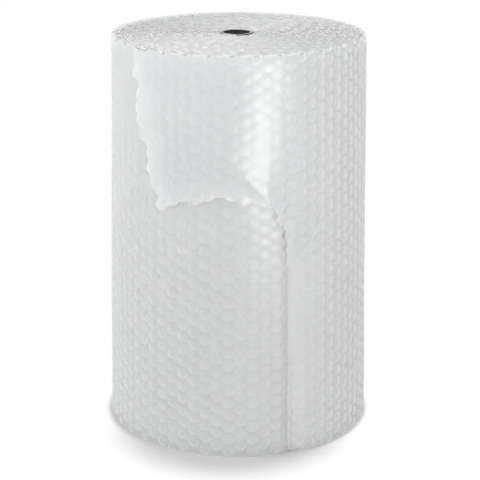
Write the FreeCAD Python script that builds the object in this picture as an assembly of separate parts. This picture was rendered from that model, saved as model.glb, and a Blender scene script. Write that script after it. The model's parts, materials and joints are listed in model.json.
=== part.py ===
import FreeCAD
import Part

import math
import os

from FreeCAD import Vector

# A roll of large-bubble cushioning film, standing on its end.
# One long web is wound round a paper tube. Its turns are one solid, whose upper end shows the spiral
# as a groove between the film edges, and whose outermost layer ends in an uneven tear. At the lower
# end the roll's own weight has pressed the film edges into one flat face.
# Millimetres, +Z up along the roll's axis, origin at the centre of the tube's lower end.
# The front of the roll faces -Y. Angles round the roll are counted from the front towards +X.

# Paper tube
core_bore = 50.8            # inside diameter, two inches, which takes a dispenser's bar
core_wall = 3.5             # wound paper wall
winding_clearance = 0.3     # radial gap between the tube and the first turn

# Web
web_width = 750.0           # the film's width, which is the height of the standing roll
turn_pitch = 10.05          # film, bubble and slack from one turn to the next
turn_count = 21             # turns from the tube to the outer end
end_groove_depth = 7.0      # how deep the bubble pockets open between two film edges at the upper end
foot_spread = 16.0          # how much further out the outer turn stands at the floor
rim_chamfer = 3.0           # rounded-off edge round both ends

# Outer end of the web
step_angle = 23.0           # where the lower part of the tear runs straight up the roll
tear_top_drop = 410.0       # depth below the upper rim at which the tear leaves that line
bend_angle = 20.8           # a point on the rounded stretch of the tear
bend_drop = 330.0
flap_heel_angle = 15.8      # where the tear turns level under the flap
flap_heel_drop = 275.0
flap_sill_angle = -6.0      # the highest point of the flap's lower edge
flap_sill_drop = 255.0
flap_toe_angle = -33.4      # the flap's loose corner
flap_toe_drop = 290.0
flap_side_angle = -41.8     # a point on the flap's long free edge
flap_side_drop = 145.0
flap_top_angle = -48.0      # where that edge meets the upper rim
flap_root = 4.0             # how far the flap is let into the turn below it

core_radius = core_bore / 2
core_outer_radius = core_radius + core_wall
core_length = web_width     # the tube is cut as long as the web is wide
web_inner_radius = core_outer_radius + winding_clearance
web_outer_radius = web_inner_radius + turn_count * turn_pitch
past = turn_pitch           # how far cutting shapes reach past what they cut

# The spiral is made of half turns. Their centres lie a half pitch apart, on the line through the step,
# so that each half turn runs smoothly into the next one.
near_centre = turn_pitch / 4
far_centre = -turn_pitch / 4
near_radius = web_outer_radius - near_centre
far_radius = near_radius - turn_pitch / 2


def ground_plan_turn(shape):
    """Turns a shape made with the step on +X so that the step stands at its angle from the front."""
    shape.rotate(Vector(0, 0, 0), Vector(0, 0, 1), step_angle - 90)
    return shape


def upper_end_line(radius, turns):
    """Points of the upper end from the tube outwards: film edges and pockets, then a flat outer turn."""
    pocket_z = web_width - end_groove_depth
    points = []
    for turn in range(turns, 1, -1):
        film = radius - turn * turn_pitch
        points.append(Vector(film, 0, web_width))
        points.append(Vector(film + turn_pitch / 2, 0, pocket_z))
    points.append(Vector(radius - turn_pitch, 0, web_width))
    return points


def half_turns(centre, radius, turns, start):
    """All the half turns on one side of the roll, spun half round their own centre."""
    inner = web_inner_radius - past
    outer = [
        Vector(radius - rim_chamfer, 0, web_width),
        Vector(radius, 0, web_width - rim_chamfer),
        Vector(radius + foot_spread, 0, rim_chamfer),
        Vector(radius + foot_spread - rim_chamfer, 0, 0),
    ]
    upper = upper_end_line(radius, turns)
    section = [Vector(inner, 0, web_width)] + upper + outer + [Vector(inner, 0, 0)]
    face = Part.Face(Part.makePolygon(section + [section[0]]))
    face.translate(Vector(centre, 0, 0))
    side = face.revolve(Vector(centre, 0, 0), Vector(0, 0, 1), 180)
    side.rotate(Vector(0, 0, 0), Vector(0, 0, 1), start)
    return side


def far_half_turns():
    """The other side starts half round, so its centre is mirrored through the axis before the spin."""
    return half_turns(-far_centre, far_radius, turn_count - 2, 180)


def arc(first, middle, last):
    return Part.Arc(first, middle, last).toShape()


def on_front(angle, drop):
    """A point of the tear, seen from the front, at an angle round the outer turn and below the rim."""
    return Vector(web_outer_radius * math.sin(math.radians(angle)), 0, web_width - drop)


def flap_outline():
    """A block that the flap is cut to, with the tear as three arcs."""
    top = on_front(flap_top_angle, 0)
    toe = on_front(flap_toe_angle, flap_toe_drop)
    heel = on_front(flap_heel_angle, flap_heel_drop)
    low = on_front(step_angle, tear_top_drop)
    top_out = top + Vector(0, 0, past)
    right = web_outer_radius + past
    right_top = Vector(right, 0, web_width + past)
    right_low = Vector(right, 0, low.z)
    edges = [
        arc(top, on_front(flap_side_angle, flap_side_drop), toe),
        arc(toe, on_front(flap_sill_angle, flap_sill_drop), heel),
        arc(heel, on_front(bend_angle, bend_drop), low),
        Part.LineSegment(low, right_low).toShape(),
        Part.LineSegment(right_low, right_top).toShape(),
        Part.LineSegment(right_top, top_out).toShape(),
        Part.LineSegment(top_out, top).toShape(),
    ]
    outline = Part.Face(Part.Wire(edges))
    return outline.extrude(Vector(0, -(web_outer_radius + foot_spread + past), 0))


def flap():
    """The loose piece of the outermost layer, left of the step and above the tear."""
    inner = far_radius - flap_root
    outer = far_radius + turn_pitch
    section = [
        Vector(inner, 0, 0),
        Vector(outer + foot_spread, 0, 0),
        Vector(outer, 0, web_width - rim_chamfer),
        Vector(outer - rim_chamfer, 0, web_width),
        Vector(inner, 0, web_width),
    ]
    face = Part.Face(Part.makePolygon(section + [section[0]]))
    face.translate(Vector(-far_centre, 0, 0))
    layer = face.revolve(Vector(-far_centre, 0, 0), Vector(0, 0, 1), 180)
    layer.rotate(Vector(0, 0, 0), Vector(0, 0, 1), 180)
    return ground_plan_turn(layer).common(flap_outline())


def bubble_wrap_web():
    """The whole web: both sides of the spiral and the flap, bored for the tube."""
    near = half_turns(near_centre, near_radius, turn_count - 1, 0)
    roll = near.fuse(far_half_turns())
    bore = Part.makeCylinder(web_inner_radius, web_width + 2 * past, Vector(0, 0, -past))
    roll = ground_plan_turn(roll.cut(bore))
    return roll.fuse(flap()).removeSplitter()


def core_tube():
    """The paper tube that the web is wound on."""
    outside = Part.makeCylinder(core_outer_radius, core_length)
    inside = Part.makeCylinder(core_radius, core_length + 2 * past, Vector(0, 0, -past))
    return outside.cut(inside)


nodes = {
    "core_tube": core_tube(),
    "bubble_wrap_web": bubble_wrap_web(),
}

os.makedirs("parts", exist_ok=True)
for name, shape in nodes.items():
    if not shape.isValid() or len(shape.Solids) != 1:
        raise ValueError(f"{name} is not one valid solid")
    shape.exportStep(f"parts/{name}.step")
    box = shape.BoundBox
    print(name, "volume", round(shape.Volume), "box", [round(v, 2) for v in (
        box.XMin, box.XMax, box.YMin, box.YMax, box.ZMin, box.ZMax)])
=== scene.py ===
import bmesh
import bpy
import json
import math
import numpy as np

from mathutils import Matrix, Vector

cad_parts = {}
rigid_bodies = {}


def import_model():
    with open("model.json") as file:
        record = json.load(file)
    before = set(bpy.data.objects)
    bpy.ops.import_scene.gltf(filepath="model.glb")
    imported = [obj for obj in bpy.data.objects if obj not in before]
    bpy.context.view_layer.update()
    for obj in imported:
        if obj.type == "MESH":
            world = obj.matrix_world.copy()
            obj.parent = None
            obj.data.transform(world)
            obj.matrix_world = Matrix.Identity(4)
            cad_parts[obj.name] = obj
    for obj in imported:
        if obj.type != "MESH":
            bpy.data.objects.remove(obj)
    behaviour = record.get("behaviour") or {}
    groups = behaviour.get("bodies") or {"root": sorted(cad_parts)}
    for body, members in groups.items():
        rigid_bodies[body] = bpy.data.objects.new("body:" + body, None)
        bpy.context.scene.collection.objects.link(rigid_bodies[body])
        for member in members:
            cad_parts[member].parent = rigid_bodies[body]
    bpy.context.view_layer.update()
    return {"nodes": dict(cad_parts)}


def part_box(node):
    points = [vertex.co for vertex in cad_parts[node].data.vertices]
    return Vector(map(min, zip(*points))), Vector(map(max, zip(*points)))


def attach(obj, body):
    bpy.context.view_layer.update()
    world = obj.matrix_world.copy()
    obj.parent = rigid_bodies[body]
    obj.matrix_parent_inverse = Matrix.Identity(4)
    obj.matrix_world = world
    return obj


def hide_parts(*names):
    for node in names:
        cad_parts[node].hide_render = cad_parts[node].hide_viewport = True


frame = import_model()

# A roll of large-bubble film standing on its end, in metres. The front faces -Y, +Z runs up the axis.
# The film is laid out flat first, with "along" running along the web and "up" across its width, and is
# then wound: every flat point gets its place on the spiral. along = 0 is the step line on the outside,
# along grows inwards round the roll, and the loose flap has negative values.

webLow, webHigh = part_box("bubble_wrap_web")
rollHeight = webHigh.z - webLow.z

weldDistance = 0.00005
colourA, colourB, colourOut = 6, 7, 2    # a Mix node's colour sockets: their names aren't unique

roll = {
    "firstTurnRadius": 0.0292,   # where the web starts on the tube
    "pitch": 0.01005,            # from one turn to the next
    "turns": 21,
    "stepAngle": 23.0,           # degrees from the front towards +X
    "footSpread": 0.016,         # the outside stands further out at the floor
    "rimCurl": 0.002,            # how far the rim leans inwards
    "rimCurlDepth": 0.020,
}
lattice = {
    "rowPitch": 0.0240,          # bubble to bubble up a column
    "columnPitch": 0.02078,
    "bubbleRadius": 0.0108,
    "bubbleHeight": 0.0078,      # how far a bubble reaches inwards
    "pillowHeight": 0.0008,      # how far the flat film bulges out over a bubble
    "bubbleRound": 2.6,          # 2 would be half a ball, more is a flatter crown with steeper walls
    "bubbleSides": 12,           # two for each side of its six-sided cell
    "crownShare": 0.78,          # part of the bubble's radius that is thin crown, the rest is wall
    "slackest": 0.35,            # how much lower the slackest bubble is, and how rare the slack ones are
    "slackRarity": 2.5,
    "slackTable": (211, 61),     # columns and rows after which the full and slack bubbles repeat
    "seed": 11,
}
slackWave = {
    "lengths": (0.31, 0.22, 0.17, 0.12, 0.085),
    "turn": 0.5,                 # radians by which a wave may run aslant
    "height": 0.0022,            # of each wave, as a share of its length
}


# Film laid out flat, and wound on the spiral

outerRadius = roll["firstTurnRadius"] + roll["turns"] * roll["pitch"]


def halfTurnRadius(half):
    return outerRadius - roll["pitch"] / 4 - half * roll["pitch"] / 2


def halfTurnStarts():
    # where each half turn starts, as a length along the web; the first one is the flap's
    starts = [-math.pi * halfTurnRadius(-1)]
    for half in range(-1, 2 * roll["turns"] + 2):
        starts.append(starts[-1] + math.pi * halfTurnRadius(half))
    return np.array(starts)


halfStarts = halfTurnStarts()


def alongAt(turnAngle):
    # the length along the web at a number of degrees past the step line
    half = math.floor(turnAngle / 180)
    rest = math.radians(turnAngle - 180 * half)
    return halfStarts[half + 1] + rest * halfTurnRadius(half)


def wound(along, up, out):
    # places flat points on the spiral; out is the distance outwards from the film's own surface.
    # The turns further in spread less at the floor and lean less at the rim.
    slot = np.clip(np.searchsorted(halfStarts, along, side="right") - 1, 0, len(halfStarts) - 2)
    half = slot - 1
    radius = halfTurnRadius(half)
    step = math.radians(roll["stepAngle"])
    angle = step + (along - halfStarts[slot]) / radius + math.pi * half
    centre = np.where(half % 2 == 0, 1.0, -1.0) * roll["pitch"] / 4
    spread = roll["footSpread"] * (radius / outerRadius) ** 2 * (1 - up / rollHeight)
    curl = np.clip((up - rollHeight + roll["rimCurlDepth"]) / roll["rimCurlDepth"], 0, 1) ** 2
    reach = radius + out + spread - roll["rimCurl"] * curl * (radius / outerRadius) ** 4
    x = centre * math.sin(step) + reach * np.sin(angle)
    y = -centre * math.cos(step) - reach * np.cos(angle)
    return np.stack([x, y, webLow.z + up], axis=1)


def rowShift(column):
    # every second column lies half a row higher
    return np.where(column % 2 == 0, 0.5, 0.0)


def nearestBubble(along, up):
    # distance to the nearest bubble's middle, and that bubble's column and row
    best = None
    for side in (0, 1):
        column = np.floor(along / lattice["columnPitch"]) + side
        shift = rowShift(column)
        row = np.round(up / lattice["rowPitch"] - shift)
        across = along - column * lattice["columnPitch"]
        rise = up - (row + shift) * lattice["rowPitch"]
        distance = np.hypot(across, rise)
        if best is None:
            best = [distance, column, row]
        else:
            closer = distance < best[0]
            best = [np.where(closer, new, old) for new, old in zip((distance, column, row), best)]
    return best[0], best[1].astype(int), best[2].astype(int)


bubbleDice = np.random.default_rng(lattice["seed"])
bubbleSlack = bubbleDice.random(lattice["slackTable"]) ** lattice["slackRarity"]
bubbleFill = 1.0 - lattice["slackest"] * bubbleSlack    # most bubbles are full, some are slack


def fillOf(column, row):
    return bubbleFill[column % bubbleFill.shape[0], row % bubbleFill.shape[1]]


def slackWaves(along, up):
    # the web isn't wound quite evenly: low waves a hand's width across
    dice = np.random.default_rng(lattice["seed"] + 1)
    wave = np.zeros_like(along)
    for length in slackWave["lengths"]:
        turn = dice.uniform(-slackWave["turn"], slackWave["turn"])
        phase = dice.uniform(0, 2 * math.pi)
        place = along * math.cos(turn) + up * math.sin(turn)
        wave += length * np.sin(2 * math.pi / length * place + phase)
    return slackWave["height"] * wave


def bubbleDepth(distance, column, row):
    ratio = np.clip(distance / lattice["bubbleRadius"], 0, 1)
    return lattice["bubbleHeight"] * np.sqrt(1 - ratio ** lattice["bubbleRound"]) * fillOf(column, row)


def pillowRise(distance, column, row):
    ratio = np.clip(distance / lattice["bubbleRadius"], 0, 1)
    return lattice["pillowHeight"] * (1 - ratio ** 2) * fillOf(column, row)


def readPoints(piece):
    flat = np.empty(len(piece.data.vertices) * 3)
    piece.data.vertices.foreach_get("co", flat)
    return flat.reshape(-1, 3)


def writePoints(piece, points):
    piece.data.vertices.foreach_set("co", np.ascontiguousarray(points, dtype=np.float32).ravel())
    piece.data.update()


def deselectAll():
    bpy.ops.object.select_all(action="DESELECT")


def editMesh(piece):
    deselectAll()
    bpy.context.view_layer.objects.active = piece
    piece.select_set(True)
    bpy.ops.object.mode_set(mode="EDIT")
    bpy.ops.mesh.select_all(action="DESELECT")
    return bmesh.from_edit_mesh(piece.data)


def applyAll(piece):
    bpy.context.view_layer.objects.active = piece
    for modifier in list(piece.modifiers):
        bpy.ops.object.modifier_apply(modifier=modifier.name)


def flatSheet(name, insets, pairs, rows, withBorder):
    # one bubble's cell: a round window with rings inside, and the sealed film out to a six-sided border.
    # Two cells side by side are repeated, because every second column lies half a row lower.
    sides = lattice["bubbleSides"]
    deselectAll()
    bpy.ops.mesh.primitive_circle_add(vertices=sides, radius=lattice["bubbleRadius"], fill_type="NGON",
                                      location=(0, 0, 0))
    sheet = bpy.context.object
    sheet.name = name
    bpy.ops.object.mode_set(mode="EDIT")
    bpy.ops.mesh.select_all(action="SELECT")
    for width in insets:
        bpy.ops.mesh.inset(thickness=width)
    bpy.ops.mesh.poke()
    if withBorder:
        cell = bmesh.from_edit_mesh(sheet.data)
        for edge in cell.edges:
            edge.select_set(edge.is_boundary)
        bpy.ops.mesh.select_mode(type="EDGE")
        bpy.ops.mesh.extrude_edges_move()
        cell = bmesh.from_edit_mesh(sheet.data)
        for vertex in cell.verts:
            if vertex.select:
                angle = math.atan2(vertex.co.y, vertex.co.x)
                corner = round(angle * sides / (2 * math.pi)) % 2 == 0
                reach = lattice["rowPitch"] / (math.sqrt(3) if corner else 2)
                vertex.co = (reach * math.cos(angle), reach * math.sin(angle), 0)
        bmesh.update_edit_mesh(sheet.data)
    bpy.ops.mesh.select_all(action="SELECT")
    bpy.ops.transform.translate(value=(0, lattice["rowPitch"] / 2, 0))
    bpy.ops.mesh.duplicate_move(TRANSFORM_OT_translate={
        "value": (lattice["columnPitch"], -lattice["rowPitch"] / 2, 0)})
    bpy.ops.object.mode_set(mode="OBJECT")
    for label, count, offset in (
        ("columns", pairs, (2 * lattice["columnPitch"], 0, 0)),
        ("rows", rows, (0, lattice["rowPitch"], 0)),
    ):
        repeat = sheet.modifiers.new(label, "ARRAY")
        repeat.use_relative_offset = False
        repeat.use_constant_offset = True
        repeat.constant_offset_displace = offset
        repeat.count = count
    applyAll(sheet)
    return sheet


def trimSheet(sheet):
    # cut to the web's width, and welded where two cells meet
    editMesh(sheet)
    bpy.ops.mesh.select_all(action="SELECT")
    bpy.ops.mesh.remove_doubles(threshold=weldDistance)
    for height, outside in ((0.0, -1), (rollHeight, 1)):
        bpy.ops.mesh.select_all(action="SELECT")
        bpy.ops.mesh.bisect(plane_co=(0, height, 0), plane_no=(0, outside, 0), clear_outer=True)
    bpy.ops.object.mode_set(mode="OBJECT")


# The loose flap: its outline in degrees from the front and metres below the rim, and how it stands off

flap = {
    "top": (-48.0, 0.000),
    "side": (-41.8, 0.145),
    "toe": (-33.4, 0.290),
    "sill": (-6.0, 0.255),
    "heel": (15.8, 0.275),
    "bend": (20.8, 0.330),
    "low": (23.0, 0.410),
    "straightFrom": 0.02,        # how far under the heel the free edge goes on straight down
    "rootWidth": 0.05,           # over what distance from the step line the film comes loose
    "ridge": 0.0085,             # how far the film stands off along its crease
    "ridgeSlant": 0.80,          # a drop at right angles to the slanting crease, as a share of the drop
    "ridgeFrom": 0.10,           # metres below the rim at which the ridge is full
    "aboveRidge": 0.060,         # over what distance the film rises to the crease
    "belowRidge": 0.028,         # over what distance it falls off below, at most and at least
    "steepFall": 0.012,
    "fallShare": 0.45,           # the same distance as a share of the way from the crease to the hem
    "hemCurl": 0.0060,           # how far the lower edge stands off, and over what distance
    "hemWidth": 0.034,
    "hemFlat": 2.0,              # degrees from the front: right of this the lower edge lies flat
    "hemFade": 0.06,             # over what distance along the web the hem's curl fades out there
    "sideCurl": 0.0035,          # the same at the long free edge
    "sideWidth": 0.030,
    "sideFrom": 0.12,
    "crumple": 0.0022,           # height of the small waves along the free edges
    "crumpleWidth": 0.05,
    "crumpleFrom": 0.05,
    "crumpleRise": 0.6,          # how far they stand outwards on the whole, as a share of that height
    "trim": 0.92,                # how closely the film's edge keeps to the tear
    "sideTrim": 0.82,            # the same at the ragged side and corner
    "raggedTo": -13.0,           # degrees from the front at which the lower edge turns smooth
    "evenOut": 0.5,              # strength of one round of smoothing along the tear, and the rounds
    "rounds": 3,
    # the cut edge along the tear carries a painted highlight
    "cutEdge": 0.0012,           # width of the bright cut edge
    "sliver": 0.00004,           # shorter edges than this are closed up
}
creaseLine = ((-30.0, 0.110), (-20.7, 0.134), (-9.7, 0.162), (-1.3, 0.190), (7.2, 0.232), (15.9, 0.272))
crumpleWaves = ((40, 151, 0), (-190, 83, 1), (240, 60, 0))    # radians a metre along and up, and a phase


def flapAlong(angle):
    return math.radians(angle - roll["stepAngle"]) * halfTurnRadius(-1)


def flapPoint(name):
    # a point of the flap's outline on the flat film, along and up
    angle, drop = flap[name]
    return flapAlong(angle), rollHeight - drop


def throughThree(value, points):
    # the smooth line through three points
    total = 0
    for place, height in points:
        weight = height
        for other, _ in points:
            if other != place:
                weight = weight * (value - other) / (place - other)
        total = total + weight
    return total


def freeEdge(up):
    return throughThree(up, [flapPoint(name)[::-1] for name in ("top", "side", "toe")])


def lowerEdge(along):
    return throughThree(along, [flapPoint(name) for name in ("toe", "sill", "heel")])


def bendEdge(up):
    return throughThree(up, [flapPoint(name)[::-1] for name in ("heel", "bend", "low")])


def onWeb(along, up):
    # whether a place on the flat film is left after the tear
    heelAlong, heelUp = flapPoint("heel")
    lowUp = flapPoint("low")[1]
    besideFlap = along > freeEdge(np.maximum(up, heelUp - flap["straightFrom"]))
    left = (along <= heelAlong) & (up > lowerEdge(along)) & besideFlap
    right = (along > heelAlong) & ((up > heelUp) | ((up > lowUp) & (along > bendEdge(up))))
    return (along > 0) | left | right


def smooth(value):
    value = np.clip(value, 0, 1)
    return value * value * (3 - 2 * value)


def flapLift(along, up):
    # the loose film rises to a slanting crease, falls off below it, and curls up along its free edges
    drop = rollHeight - up
    places = [flapAlong(angle) for angle, _ in creaseLine]
    creaseDrop = np.interp(along, places, [depth for _, depth in creaseLine])
    below = (drop - creaseDrop) * flap["ridgeSlant"]
    creaseToHem = rollHeight - lowerEdge(along) - creaseDrop
    fall = np.clip(flap["fallShare"] * creaseToHem, flap["steepFall"], flap["belowRidge"])
    width = np.where(below < 0, flap["aboveRidge"], fall)
    lift = flap["ridge"] * np.exp(-np.abs(below) / width) * smooth(drop / flap["ridgeFrom"])
    sideGap = along - freeEdge(up)
    hemGap = up - lowerEdge(along)
    lift += flap["sideCurl"] * smooth(1 - sideGap / flap["sideWidth"]) * smooth(drop / flap["sideFrom"])
    curled = smooth((flapAlong(flap["hemFlat"]) - along) / flap["hemFade"])
    lift += flap["hemCurl"] * curled * smooth(1 - hemGap / flap["hemWidth"])
    nearEdge = smooth(1 - np.minimum(sideGap, hemGap) / flap["crumpleWidth"])
    nearEdge *= smooth(drop / flap["crumpleFrom"])
    waves = sum(np.sin(up * byUp + along * byAlong + phase) for byAlong, byUp, phase in crumpleWaves)
    lift += flap["crumple"] * nearEdge * (waves / len(crumpleWaves) + flap["crumpleRise"])
    loose = smooth(-along / flap["rootWidth"])
    return np.where(along < 0, np.maximum(lift, 0) * loose, 0)


# The end of the web below the flap, which lies down flat on the turn below

tail = {
    "length": 0.090,             # over what length it sinks, and how far
    "sink": 0.0086,
    "flatten": 0.86,             # how much flatter its bubbles get
    "from": 0.30,                # metres below the rim: where this sets in, and over what distance
    "over": 0.09,
}


def tailShare(along, up):
    drop = rollHeight - up
    return smooth(1 - along / tail["length"]) * smooth((drop - tail["from"]) / tail["over"])


def faceMiddles(mesh):
    return np.array([face.calc_center_median()[:] for face in mesh.faces])


def dropCells(sheet, inset):
    # the tear runs between bubbles, so whole cells go; inset keeps the rest clear of the tear
    mesh = editMesh(sheet)
    middles = faceMiddles(mesh)
    _, column, row = nearestBubble(middles[:, 0], middles[:, 1])
    centreAlong = column * lattice["columnPitch"]
    centreUp = (row + rowShift(column)) * lattice["rowPitch"]
    keep = onWeb(centreAlong, centreUp)
    keep &= (centreAlong > 0) | onWeb(centreAlong - inset, centreUp) & onWeb(centreAlong, centreUp - inset)
    for face, kept in zip(mesh.faces, keep):
        face.select_set(not kept)
    bpy.ops.mesh.delete(type="FACE")
    bpy.ops.object.mode_set(mode="OBJECT")


def tearPoint(along, up):
    # distance to the nearest point of the tear, that point, and how closely the film's edge keeps to it
    heelAlong, heelUp = flapPoint("heel")
    toeAlong, toeUp = flapPoint("toe")
    lowUp = flapPoint("low")[1]
    reach = lattice["rowPitch"]
    choices = []
    if up > toeUp - reach and along < toeAlong + 2 * reach:
        choices.append((abs(along - freeEdge(up)), freeEdge(up), up, flap["sideTrim"]))
    if toeAlong - reach < along < heelAlong + reach:
        trim = flap["sideTrim"] if along < flapAlong(flap["raggedTo"]) else flap["trim"]
        choices.append((abs(up - lowerEdge(along)), along, lowerEdge(along), trim))
    if along > heelAlong - reach and lowUp < up < heelUp + reach:
        choices.append((abs(along - bendEdge(up)), bendEdge(up), up, flap["trim"]))
    if up <= lowUp + reach / 2:
        choices.append((abs(along), 0.0, up, flap["trim"]))
    return min(choices) if choices else None


def trimTear(sheet):
    # draws the zigzag of cut cells onto the tear, and leaves a narrow cut edge all round; along the tear
    # it gets the painted highlight
    nearEnd = lattice["rowPitch"] / 4     # points this close to an end of the roll keep their height
    mesh = editMesh(sheet)
    for vertex in mesh.verts:
        if vertex.is_boundary and vertex.co.x < lattice["rowPitch"]:
            found = tearPoint(vertex.co.x, vertex.co.y)
            if found and found[0] < lattice["rowPitch"]:
                _, along, up, trim = found
                vertex.co.x += (along - vertex.co.x) * trim
                if nearEnd < vertex.co.y < rollHeight - nearEnd:
                    vertex.co.y += (up - vertex.co.y) * trim
                    vertex.select_set(True)
    mesh.select_flush_mode()
    bpy.ops.mesh.select_mode(type="VERT")
    bpy.ops.mesh.select_more()
    bpy.ops.mesh.vertices_smooth(factor=flap["evenOut"], repeat=flap["rounds"])
    bpy.ops.mesh.select_mode(type="FACE")
    bpy.ops.mesh.select_all(action="SELECT")
    bpy.ops.mesh.inset(thickness=flap["cutEdge"], use_boundary=True, use_even_offset=False)
    lowest, highest = flapPoint("low")[1], rollHeight - nearEnd / 2
    # the cut edge's faces along the tear take the second material, a painted highlight
    for face in bmesh.from_edit_mesh(sheet.data).faces:
        torn = not face.select and lowest < face.calc_center_median().y < highest
        face.material_index = 1 if torn else 0
    bpy.ops.mesh.select_all(action="SELECT")
    bpy.ops.mesh.dissolve_degenerate(threshold=flap["sliver"])
    bpy.ops.object.mode_set(mode="OBJECT")


def splitWalls(sheet):
    # the steep walls of the bubbles get the second material
    mesh = editMesh(sheet)
    middles = faceMiddles(mesh)
    distance = nearestBubble(middles[:, 0], middles[:, 1])[0]
    for face, away in zip(mesh.faces, distance):
        face.material_index = 1 if away > lattice["crownShare"] * lattice["bubbleRadius"] else 0
    bpy.ops.object.mode_set(mode="OBJECT")


def addFlatMap(sheet, points):
    # keeps the flat layout as the piece's own map, so patterns follow the film
    flatMap = sheet.data.uv_layers.new(name="flat")
    corners = np.empty(len(sheet.data.loops), dtype=np.int32)
    sheet.data.loops.foreach_get("vertex_index", corners)
    flatMap.data.foreach_set("uv", points[corners, :2].astype(np.float32).ravel())


def finishPiece(piece, materials):
    for material in materials:
        piece.data.materials.append(material)
    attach(piece, "root")


# Materials

def sRgb(code):
    # a hex colour as the linear values that a socket takes
    channels = [int(code[i:i + 2], 16) / 255 for i in (1, 3, 5)]
    linear = [c / 12.92 if c <= 0.04045 else ((c + 0.055) / 1.055) ** 2.4 for c in channels]
    return (*linear, 1.0)


def addNode(tree, kind, links=(), **settings):
    # settings name the node's own properties or, with spaces as underscores, its inputs. Links give
    # the output that an input, by name or number, is joined to.
    node = tree.nodes.new(kind)
    for name, value in settings.items():
        if hasattr(node, name):
            setattr(node, name, value)
        else:
            node.inputs[name.replace("_", " ")].default_value = value
    for name, source in dict(links).items():
        tree.links.new(source, node.inputs[name])
    return node


def newMaterial(name):
    material = bpy.data.materials.new(name)
    material.use_nodes = True
    material.node_tree.nodes.clear()
    return material, material.node_tree


filmLook = {
    "colour": "#f5f6f7",
    "alpha": 0.38,
    "roughness": 0.31,
    "ior": 2.1,
    "shine": 1.0,
    "wrinkle": 0.030,        # metres, spacing of the faint stretch lines, and how deep they are
    "wrinkleDepth": 0.0012,
    "wrinkleDetail": 4.0,
    "wrinkleGrain": 0.55,
    "wrinkleStrength": 0.25,
    "wrinkleStretch": (2.4, 0.5, 1.0),      # they run up the web
    "smoother": 0.05,        # how far the roughness varies with them
    "rougher": 0.07,
}


def blownFilm():
    # blown polyethylene, smooth side out: clear, with a soft shine. The high index and full specular
    # level stand for the four film faces that lie close behind one another.
    material, tree = newMaterial("blown polyethylene film")
    place = addNode(tree, "ShaderNodeUVMap", uv_map="flat")
    stretch = addNode(tree, "ShaderNodeMapping", {"Vector": place.outputs["UV"]},
                      Scale=filmLook["wrinkleStretch"])
    lines = addNode(tree, "ShaderNodeTexNoise", {"Vector": stretch.outputs["Vector"]},
                    Scale=1 / filmLook["wrinkle"], Detail=filmLook["wrinkleDetail"],
                    Roughness=filmLook["wrinkleGrain"])
    bump = addNode(tree, "ShaderNodeBump", {"Height": lines.outputs["Fac"]},
                   Strength=filmLook["wrinkleStrength"], Distance=filmLook["wrinkleDepth"])
    rough = addNode(tree, "ShaderNodeMapRange", {"Value": lines.outputs["Fac"]},
                    To_Min=filmLook["roughness"] - filmLook["smoother"],
                    To_Max=filmLook["roughness"] + filmLook["rougher"])
    shader = addNode(tree, "ShaderNodeBsdfPrincipled",
                     {"Normal": bump.outputs["Normal"], "Roughness": rough.outputs["Result"]},
                     Base_Color=sRgb(filmLook["colour"]), Alpha=filmLook["alpha"], IOR=filmLook["ior"],
                     Specular_IOR_Level=filmLook["shine"])
    addNode(tree, "ShaderNodeOutputMaterial", {"Surface": shader.outputs["BSDF"]})
    return material


bubbleLook = {
    "crown": ("#e4e6e8", 0.33),      # thin stretched film over the bubble's top: colour and alpha
    "wall": ("#fbfcfd", 0.65),       # thicker film, gathered down its sides
    "roughness": 0.16,
    "ior": 1.7,
}


def formedFilm(part):
    # vacuum-formed polyethylene: thin and clear at the crown, whiter down the steep walls
    material, tree = newMaterial("vacuum-formed film, bubble " + part)
    colour, alpha = bubbleLook[part]
    shader = addNode(tree, "ShaderNodeBsdfPrincipled", Base_Color=sRgb(colour), Alpha=alpha,
                     IOR=bubbleLook["ior"], Roughness=bubbleLook["roughness"])
    addNode(tree, "ShaderNodeOutputMaterial", {"Surface": shader.outputs["BSDF"]})
    return material


def mottled(name, pattern, look):
    # a matt material that varies between two tones with a pattern
    material, tree = newMaterial(name)
    place = addNode(tree, "ShaderNodeTexCoord")
    texture = addNode(tree, pattern["kind"], {"Vector": place.outputs["Object"]}, **pattern["settings"])
    level = addNode(tree, "ShaderNodeMapRange", {"Value": texture.outputs[pattern["output"]]},
                    From_Min=pattern["low"], From_Max=pattern["high"])
    tone = addNode(tree, "ShaderNodeMix", {"Factor": level.outputs["Result"]}, data_type="RGBA")
    tone.inputs[colourA].default_value = sRgb(look["deep"])
    tone.inputs[colourB].default_value = sRgb(look["pale"])
    shader = addNode(tree, "ShaderNodeBsdfPrincipled", {"Base Color": tone.outputs[colourOut]},
                     Roughness=look["roughness"])
    return material, tree, texture, shader


# the milky body's tones: pale over the next turn's bubbles, deep between them, as painted light and shade
bodyToneAndShade = {
    "pale": "#dbdbdb",
    "deep": "#cacac9",
    "roughness": 0.35,
}


def woundFilm():
    # many turns of clear film: milky, because light is turned back at every layer, with the next
    # turn's bubbles as soft cells of painted light and shade: paler over each bubble, darker between them
    cells = {"kind": "ShaderNodeTexVoronoi", "output": "Distance", "low": 0.75, "high": 0.15,
             "settings": {"Scale": 1 / lattice["rowPitch"], "Randomness": 0.45}}
    material, tree, _, shader = mottled("wound layers of clear film", cells, bodyToneAndShade)
    addNode(tree, "ShaderNodeOutputMaterial", {"Surface": shader.outputs["BSDF"]})
    return material


# the torn edge's painted highlight: pale and deep tones of white along the cut
edgeHighlightLook = {
    "pale": "#f2f3f4",
    "deep": "#dddfe0",
    "fleck": 0.012,          # metres, length of a lighter or darker stretch of edge
    "roughness": 0.4,
    "alpha": 0.55,
}


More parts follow.
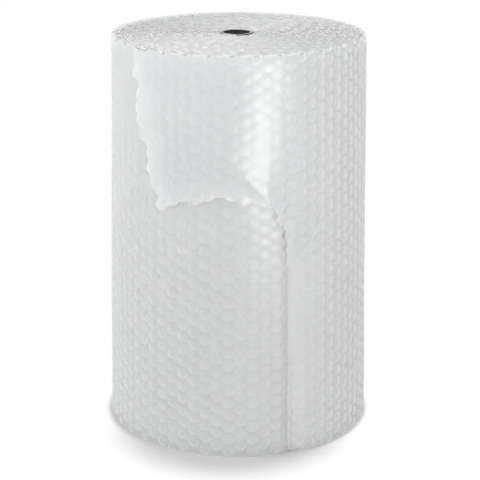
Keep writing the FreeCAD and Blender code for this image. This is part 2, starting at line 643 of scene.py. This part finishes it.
def cutEdgeHighlight():
    # film along its torn edge: whiter than the rest, a painted highlight for the light that gathers there
    flecks = {"kind": "ShaderNodeTexNoise", "output": "Fac", "low": 0.3, "high": 0.7,
              "settings": {"Scale": 1 / edgeHighlightLook["fleck"], "Detail": 2.0}}
    material, tree, _, shader = mottled("cut film edges", flecks, edgeHighlightLook)
    shader.inputs["Alpha"].default_value = edgeHighlightLook["alpha"]
    addNode(tree, "ShaderNodeOutputMaterial", {"Surface": shader.outputs["BSDF"]})
    return material


endLook = {
    "colour": "#f6f7f7",
    "alpha": 0.50,
    "roughness": 0.45,
}


def slitFilm():
    # film slit by a blade at the ends of the roll: clear, so light reaches down between the turns
    material, tree = newMaterial("slit film at the roll's ends")
    shader = addNode(tree, "ShaderNodeBsdfPrincipled", Base_Color=sRgb(endLook["colour"]),
                     Alpha=endLook["alpha"], Roughness=endLook["roughness"])
    addNode(tree, "ShaderNodeOutputMaterial", {"Surface": shader.outputs["BSDF"]})
    return material


tubeLook = {
    "pale": "#4a4846",
    "deep": "#33312f",
    "end": "#b4b2ae",        # the cut end of the board is much paler than its dark lining
    "endDepth": 0.0004,      # metres from the cut end that have its colour
    "fibre": 0.003,          # metres, length of a fibre, and how far fibres stand up
    "fibreDepth": 0.0004,
    "fibreStrength": 0.3,
    "roughness": 0.9,
}


def woundPaperboard():
    # spirally wound grey paperboard: dull, with faint fibres, dark inside and pale on its cut end
    fibres = {"kind": "ShaderNodeTexNoise", "output": "Fac", "low": 0.2, "high": 0.8,
              "settings": {"Scale": 1 / tubeLook["fibre"], "Detail": 4.0}}
    material, tree, texture, shader = mottled("spirally wound paperboard", fibres, tubeLook)
    bump = addNode(tree, "ShaderNodeBump", {"Height": texture.outputs["Fac"]},
                   Strength=tubeLook["fibreStrength"], Distance=tubeLook["fibreDepth"])
    tree.links.new(bump.outputs["Normal"], shader.inputs["Normal"])
    place = addNode(tree, "ShaderNodeTexCoord")
    height = addNode(tree, "ShaderNodeSeparateXYZ", {"Vector": place.outputs["Object"]})
    fromMiddle = addNode(tree, "ShaderNodeMath", {0: height.outputs["Z"]}, operation="SUBTRACT")
    fromMiddle.inputs[1].default_value = webLow.z + rollHeight / 2
    away = addNode(tree, "ShaderNodeMath", {0: fromMiddle.outputs[0]}, operation="ABSOLUTE")
    atEnd = addNode(tree, "ShaderNodeMath", {0: away.outputs[0]}, operation="GREATER_THAN")
    atEnd.inputs[1].default_value = rollHeight / 2 - tubeLook["endDepth"]
    ended = addNode(tree, "ShaderNodeMix", {"Factor": atEnd.outputs[0]}, data_type="RGBA")
    tree.links.new(shader.inputs["Base Color"].links[0].from_socket, ended.inputs[colourA])
    ended.inputs[colourB].default_value = sRgb(tubeLook["end"])
    tree.links.new(ended.outputs[colourOut], shader.inputs["Base Color"])
    addNode(tree, "ShaderNodeOutputMaterial", {"Surface": shader.outputs["BSDF"]})
    return material


# Camera

camera = {
    "distance": 2.757,       # metres from the roll's axis, and above the floor
    "height": 1.221,
    "tilt": 17.65,           # degrees below the horizon
    "lens": 111.76,          # millimetres, and the sensor's width
    "sensor": 36.0,
    "aside": 0.0063,         # metres right of the roll's axis
    "farthest": 60.0,        # metres that it sees
}


def makeCamera():
    bpy.ops.object.camera_add(location=(camera["aside"], -camera["distance"], camera["height"]),
                              rotation=(math.radians(90 - camera["tilt"]), 0, 0))
    eye = bpy.context.object
    eye.name = "camera"
    eye.data.lens = camera["lens"]
    eye.data.sensor_width = camera["sensor"]
    eye.data.clip_end = camera["farthest"]
    bpy.context.scene.camera = eye
    print("camera placed")


makeCamera()


# Outermost turn with its loose flap: the flat film, and the bubbles behind it

outerTurn = {
    "flapColumns": 17,           # columns left of the step line, before the tear is cut
    "turnAngle": 372.0,          # degrees past the step line at which the piece ends, out of sight
    "filmInset": (0.0048,),      # rings inside each bubble's circle, on the flat film and on the bubble
    "bubbleInsets": (0.0014, 0.0042),
    "bubbleMargin": 0.6,         # how far bubbles keep off the tear, as a share of their radius
    "bubbleGap": 0.0001,         # from the flat film to the rim of a bubble behind it
}


def outerSheet(name, materials, insets, withBorder, rise):
    first = -2 * math.ceil(outerTurn["flapColumns"] / 2)
    last = math.ceil(alongAt(outerTurn["turnAngle"]) / lattice["columnPitch"])
    pairs = math.ceil((last - first) / 2)
    rows = math.ceil(rollHeight / lattice["rowPitch"]) + 1
    sheet = flatSheet(name, insets, pairs, rows, withBorder)
    points = readPoints(sheet)
    points[:, 0] += first * lattice["columnPitch"]
    writePoints(sheet, points)
    trimSheet(sheet)
    dropCells(sheet, 0 if withBorder else lattice["bubbleRadius"] * outerTurn["bubbleMargin"])
    finishPiece(sheet, materials)
    if withBorder:
        trimTear(sheet)
    else:
        splitWalls(sheet)
    points = readPoints(sheet)
    addFlatMap(sheet, points)
    along, up = points[:, 0], points[:, 1]
    distance, column, row = nearestBubble(along, up)
    share = tailShare(along, up)
    out = rise(distance, column, row) * (1 - tail["flatten"] * share) - tail["sink"] * share
    out += slackWaves(along, up) + flapLift(along, up)
    writePoints(sheet, wound(along, up, out))
    bpy.context.view_layer.objects.active = sheet
    sheet.select_set(True)
    bpy.ops.object.shade_smooth()
    print(name, "faces", len(sheet.data.polygons))
    return sheet


def hangingBubble(distance, column, row):
    return -outerTurn["bubbleGap"] - bubbleDepth(distance, column, row)


# the torn edge's material: a painted highlight
tornEdgeHighlight = cutEdgeHighlight()
film = outerSheet("outerFilm", [blownFilm(), tornEdgeHighlight], outerTurn["filmInset"], True, pillowRise)
bubbleFilm = [formedFilm("crown"), formedFilm("wall")]
outerSheet("outerBubbles", bubbleFilm, outerTurn["bubbleInsets"], False, hangingBubble)
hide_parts("bubble_wrap_web")


# The turns behind: one milky body, a little shorter than the film edges that stand in both its ends

innerTurns = {
    "points": 240,               # round the body
    "endDepth": 0.0040,          # how far its flat ends lie inside the ends of the roll
    "smoothBelow": 35.0,         # degrees; sharper edges stay sharp
}


def makeInnerTurns():
    # a wall along the second turn, closed by a flat end above and below and by the bore inside
    count = innerTurns["points"]
    deselectAll()
    bpy.ops.mesh.primitive_circle_add(vertices=count, radius=outerRadius, fill_type="NOTHING")
    body = bpy.context.object
    body.name = "innerTurns"
    start, end = alongAt(360), alongAt(720)
    share = np.arange(count) / (count - 1)
    along = start + (end - start) * share
    low, high = innerTurns["endDepth"], rollHeight - innerTurns["endDepth"]
    writePoints(body, wound(along, np.full(len(along), low), np.zeros(len(along))))
    upper = wound(along, np.full(len(along), high), np.zeros(len(along)))
    editMesh(body)
    bpy.ops.mesh.select_all(action="SELECT")
    bpy.ops.mesh.extrude_edges_move()
    bpy.ops.object.mode_set(mode="OBJECT")
    points = readPoints(body)
    points[count:] = upper
    writePoints(body, points)
    for height in (high, low):
        mesh = editMesh(body)
        for line in mesh.edges:
            ends = [abs(vertex.co.z - webLow.z - height) < weldDistance for vertex in line.verts]
            line.select_set(line.is_boundary and all(ends))
        bpy.ops.mesh.select_mode(type="EDGE")
        bpy.ops.mesh.extrude_edges_move()
        mesh = bmesh.from_edit_mesh(body.data)
        for vertex in mesh.verts:
            if vertex.select:
                spoke = Vector((vertex.co.x, vertex.co.y)).normalized() * roll["firstTurnRadius"]
                vertex.co = (spoke.x, spoke.y, vertex.co.z)
        bmesh.update_edit_mesh(body.data)
        bpy.ops.object.mode_set(mode="OBJECT")
    mesh = editMesh(body)
    for line in mesh.edges:
        line.select_set(line.is_boundary)
    bpy.ops.mesh.bridge_edge_loops()
    bpy.ops.mesh.select_all(action="SELECT")
    bpy.ops.mesh.remove_doubles(threshold=weldDistance)
    bpy.ops.mesh.normals_make_consistent(inside=False)
    bpy.ops.object.mode_set(mode="OBJECT")
    bpy.ops.object.shade_smooth_by_angle(angle=math.radians(innerTurns["smoothBelow"]))
    finishPiece(body, [woundFilm()])
    print("innerTurns faces", len(body.data.polygons))


makeInnerTurns()


# Both ends: the film's cut edge, turn after turn, with the bubbles cut open

filmEnds = {
    "depth": 0.006,              # how far down the edges reach, into the body behind them
    "thickness": 0.0009,         # drawn thicker than the film, which would not show
    "flatStep": 0.0065,          # from point to point along the flat film
    "bubbleSteps": 8,            # points across one column of bubbles
    "bubbleGap": 0.0004,         # from the flat film to the bubbles behind it
    "edgeWave": 0.0012,          # how unevenly the upper edges stand
    "waves": ((61.0, 0.0), (23.7, 1.3), (147.0, 0.0)),      # radians a metre, and a phase
    "offFloor": 0.0004,
    "innerEnd": 20.0,            # degrees before the start of the web at which the edges end
    "smoothBelow": 40.0,         # degrees; sharper edges stay sharp
}


def endStrip(name, stepLength, levels, upper, rise):
    deselectAll()
    start = alongAt(outerTurn["turnAngle"])
    end = alongAt(360 * roll["turns"] - filmEnds["innerEnd"])
    steps = math.ceil((end - start) / stepLength)
    bpy.ops.mesh.primitive_grid_add(x_subdivisions=steps, y_subdivisions=levels, size=1)
    strip = bpy.context.object
    strip.name = name
    points = readPoints(strip)
    along = start + (points[:, 0] + 0.5) * (end - start)
    share = points[:, 1] + 0.5
    wave = sum(np.sin(along * turn + phase) for turn, phase in filmEnds["waves"]) / len(filmEnds["waves"])
    if upper:
        edge = rollHeight + filmEnds["edgeWave"] * (wave - 1)
        inside = rollHeight - filmEnds["depth"]
    else:
        edge = filmEnds["offFloor"]
        inside = filmEnds["depth"]
    up = inside + (edge - inside) * share
    distance, column, row = nearestBubble(along, up)
    writePoints(strip, wound(along, up, rise(distance, column, row)))
    thick = strip.modifiers.new("thickness", "SOLIDIFY")
    thick.thickness = filmEnds["thickness"]
    thick.offset = 0
    applyAll(strip)
    bpy.ops.object.shade_smooth_by_angle(angle=math.radians(filmEnds["smoothBelow"]))
    print(name, "faces", len(strip.data.polygons))
    return strip


def flatFilm(distance, column, row):
    return np.zeros(len(distance))


def cutBubble(distance, column, row):
    return -filmEnds["bubbleGap"] - bubbleDepth(distance, column, row)


endMaterial = slitFilm()
bubbleStep = lattice["columnPitch"] / filmEnds["bubbleSteps"]
for end, upper in (("upper", True), ("lower", False)):
    finishPiece(endStrip(end + "FilmEdge", filmEnds["flatStep"], 1, upper, flatFilm), [endMaterial])
    finishPiece(endStrip(end + "BubbleEdge", bubbleStep, 2, upper, cutBubble), [endMaterial])


# Paper tube: the CAD solid with its board

tube = frame["nodes"]["core_tube"]
tube.data.materials.clear()
tube.data.materials.append(woundPaperboard())
print("core_tube has its board")


# Floor, backdrop and light

studio = {
    "floorSize": 24.0,               # metres
    "floorColour": "#f6f6f6",
    # a darker floor colour near the roll: painted shade that deepens the real shadow there
    "shadowColour": "#dbdbdb",       # what the camera sees of the floor close to the roll
    "ringShadow": (0.248, 0.264),    # metres from the axis between which the floor turns plain white
    "frontShadow": (0.150, 0.250),   # the same round a point nearer the camera, where the shadow is wider
    "frontCentre": (-0.015, -0.115),
    "skyColour": "#e7e7e7",          # the light that comes from all round, which the camera sees as white
    "skyLevel": 0.84,
    # a lamp's angle is counted from the front towards +X, "aim" is the height that it points at, and
    # "mirrored" says whether it shows as a glare in the film; lengths are metres, power is watts
    "softbox": {"angle": 24.0, "distance": 1.24, "aim": 0.45, "height": 0.41, "width": 0.60, "tall": 0.40,
                "power": 2.7, "spread": 180.0, "mirrored": True},
    "leftFill": {"angle": -82.0, "distance": 2.8, "aim": 0.55, "height": 1.3, "width": 1.4, "tall": 1.4,
                 "power": 27.0, "spread": 180.0, "mirrored": False},
    "frontLight": {"angle": -6.0, "distance": 1.6, "aim": 0.66, "height": 1.10, "width": 0.7, "tall": 0.3,
                   "power": 0.24, "spread": 28.0, "mirrored": False},
    "topLight": {"angle": 180.0, "distance": 0.2, "aim": 0.75, "height": 2.5, "width": 1.6, "tall": 1.6,
                 "power": 7.8, "spread": 180.0, "mirrored": False},
}


def areaLight(name, light):
    turn = math.radians(light["angle"])
    away = light["distance"]
    place = Vector((away * math.sin(turn), -away * math.cos(turn), light["height"]))
    bpy.ops.object.light_add(type="AREA", location=place)
    lamp = bpy.context.object
    lamp.name = name
    lamp.data.shape = "RECTANGLE"
    lamp.data.size = light["width"]
    lamp.data.size_y = light["tall"]
    lamp.data.energy = light["power"]
    lamp.data.spread = math.radians(light["spread"])
    lamp.visible_camera = False
    lamp.visible_glossy = light["mirrored"]
    target = Vector((0, 0, light["aim"]))
    lamp.rotation_euler = (target - place).to_track_quat("-Z", "Y").to_euler()


def seenDirectly(tree):
    # 1 for rays from the camera, and for those that a shiny or clear surface sends on
    rays = addNode(tree, "ShaderNodeLightPath")
    total = rays.outputs["Is Camera Ray"]
    for kind in ("Is Glossy Ray", "Is Transmission Ray"):
        either = addNode(tree, "ShaderNodeMath", {0: total, 1: rays.outputs[kind]},
                         operation="ADD", use_clamp=True)
        total = either.outputs[0]
    return total


def studioFloor():
    # matt white, which keeps the real shadow at the roll's foot, deepened there by painted shade, and
    # turns plain white further out
    material, tree = newMaterial("matt white studio floor")
    matt = addNode(tree, "ShaderNodeBsdfDiffuse", Color=sRgb(studio["floorColour"]))
    shaded = addNode(tree, "ShaderNodeBsdfDiffuse", Color=sRgb(studio["shadowColour"]))
    plain = addNode(tree, "ShaderNodeEmission", Strength=1.0)
    place = addNode(tree, "ShaderNodeTexCoord")
    both = addNode(tree, "ShaderNodeMath", operation="MULTIPLY")
    for slot, (near, far), centre in (
        (0, studio["ringShadow"], (0, 0)),
        (1, studio["frontShadow"], studio["frontCentre"]),
    ):
        away = addNode(tree, "ShaderNodeVectorMath", {"Vector": place.outputs["Object"]},
                       operation="DISTANCE")
        away.inputs[1].default_value = (*centre, 0)
        fade = addNode(tree, "ShaderNodeMapRange", {"Value": away.outputs["Value"]},
                       interpolation_type="SMOOTHSTEP", From_Min=near, From_Max=far)
        tree.links.new(fade.outputs["Result"], both.inputs[slot])
    shown = addNode(tree, "ShaderNodeMixShader",
                    {0: both.outputs[0], 1: shaded.outputs[0], 2: plain.outputs[0]})
    surface = addNode(tree, "ShaderNodeMixShader",
                      {0: seenDirectly(tree), 1: matt.outputs[0], 2: shown.outputs[0]})
    addNode(tree, "ShaderNodeOutputMaterial", {"Surface": surface.outputs[0]})
    return material


def makeStudio():
    bpy.ops.mesh.primitive_plane_add(size=studio["floorSize"], location=(0, 0, 0))
    floor = bpy.context.object
    floor.name = "studioFloor"
    floor.data.materials.append(studioFloor())
    world = bpy.data.worlds.new("studioAir")
    bpy.context.scene.world = world
    world.use_nodes = True
    tree = world.node_tree
    tree.nodes.clear()
    sky = addNode(tree, "ShaderNodeBackground", Color=sRgb(studio["skyColour"]),
                  Strength=studio["skyLevel"])
    white = addNode(tree, "ShaderNodeBackground", Color=sRgb("#ffffff"), Strength=1.0)
    air = addNode(tree, "ShaderNodeMixShader",
                  {0: seenDirectly(tree), 1: sky.outputs[0], 2: white.outputs[0]})
    addNode(tree, "ShaderNodeOutputWorld", {"Surface": air.outputs[0]})
    for name in ("softbox", "leftFill", "frontLight", "topLight"):
        areaLight(name, studio[name])
    bpy.context.scene.view_settings.view_transform = "Standard"
    print("studio ready")


makeStudio()
